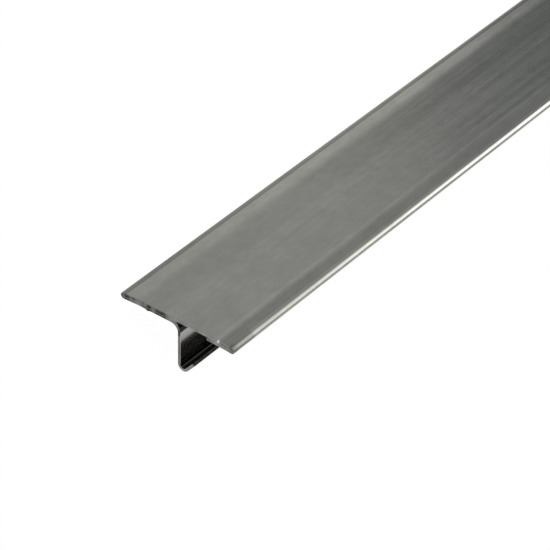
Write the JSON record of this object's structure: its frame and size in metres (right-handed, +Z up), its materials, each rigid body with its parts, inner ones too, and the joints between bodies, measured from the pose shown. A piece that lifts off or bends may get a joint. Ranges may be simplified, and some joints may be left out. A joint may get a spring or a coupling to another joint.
{
  "type": "stainless steel t-profile",
  "caption": "Roll-formed stainless steel T-profile: a brushed cover face with folded edges on a thin stem that ends in a hooked foot, for the joint between two floor coverings.",
  "frame": {"origin": "middle of the bottom of the bounding box, as the bar lies loose on a level floor", "axes": "+Y along the bar; +Z up; the section lies in XZ, turned 35.2 degrees from upright so that the face looks up and towards -X, and the left folded edge and the hooked foot rest on the floor"},
  "size_m": [0.0206, 1, 0.015],
  "materials": {
    "brushed_steel": "brushed along its length"
  },
  "bodies": {
    "root": {"t_profile": "brushed_steel"}
  },
  "joints": []
}
